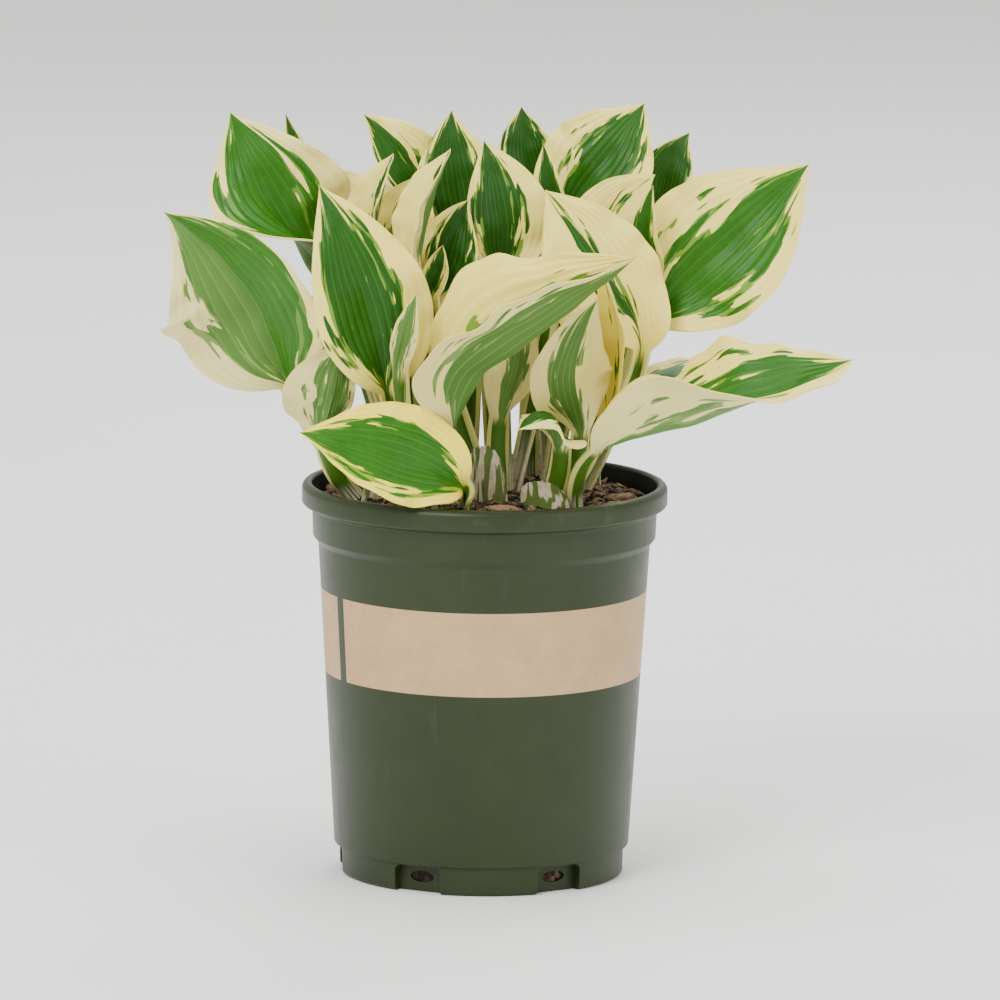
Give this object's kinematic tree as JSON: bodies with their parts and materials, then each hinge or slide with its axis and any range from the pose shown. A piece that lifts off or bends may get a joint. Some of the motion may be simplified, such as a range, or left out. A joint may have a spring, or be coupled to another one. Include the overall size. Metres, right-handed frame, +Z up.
{
  "type": "potted hosta plant",
  "caption": "Leafy hosta with broad cream-edged leaves on upright stalks, growing from soil in a round tapered nursery pot with a rolled rim.",
  "frame": {"origin": "middle of the pot's flat foot", "axes": "+Z up out of the pot, -Y towards the front of the plant, +X to its right"},
  "size_m": [0.3132, 0.2313, 0.3506],
  "materials": {
    "leaf_blade": "satin living leaf, green centre and cream margin",
    "sheath_skin": "thin pale scale leaf with purple and green streaks",
    "bark_chip": "rough dry bark",
    "crown_skin": "rough fibrous rhizome",
    "potting_mix": "moist bark-based potting mix",
    "pot_plastic": "satin dark olive green"
  },
  "bodies": {
    "root": {"bark_chip_1": "bark_chip", "bark_chip_2": "bark_chip", "bark_chip_3": "bark_chip", "bark_chip_4": "bark_chip", "bark_chip_5": "bark_chip", "bark_chip_6": "bark_chip", "bark_chip_7": "bark_chip", "crown": "crown_skin", "leaf_a1": "leaf_blade", "leaf_a2": "leaf_blade", "leaf_a3": "leaf_blade", "leaf_b1": "leaf_blade", "leaf_b2": "leaf_blade", "leaf_b3": "leaf_blade", "leaf_b4": "leaf_blade", "leaf_b5": "leaf_blade", "leaf_c1": "leaf_blade", "leaf_c2": "leaf_blade", "leaf_c3": "leaf_blade", "leaf_d1": "leaf_blade", "leaf_d2": "leaf_blade", "leaf_d3": "leaf_blade", "leaf_d4": "leaf_blade", "leaf_d5": "leaf_blade", "leaf_d6": "leaf_blade", "leaf_e1": "leaf_blade", "leaf_e2": "leaf_blade", "leaf_e3": "leaf_blade", "leaf_e4": "leaf_blade", "leaf_e5": "leaf_blade", "leaf_f1": "leaf_blade", "leaf_f2": "leaf_blade", "leaf_f3": "leaf_blade", "leaf_f4": "leaf_blade", "leaf_f5": "leaf_blade", "leaf_f6": "leaf_blade", "leaf_f7": "leaf_blade", "leaf_f8": "leaf_blade", "leaf_g1": "leaf_blade", "leaf_g2": "leaf_blade", "leaf_g3": "leaf_blade", "leaf_g4": "leaf_blade", "leaf_g5": "leaf_blade", "leaf_g6": "leaf_blade", "leaf_g7": "leaf_blade", "leaf_g8": "leaf_blade", "pot": "pot_plastic", "sheath_a": "sheath_skin", "sheath_c": "sheath_skin", "sheath_d": "sheath_skin", "sheath_e": "sheath_skin", "sheath_f": "sheath_skin", "sheath_g": "sheath_skin", "soil": "potting_mix"}
  },
  "joints": []
}
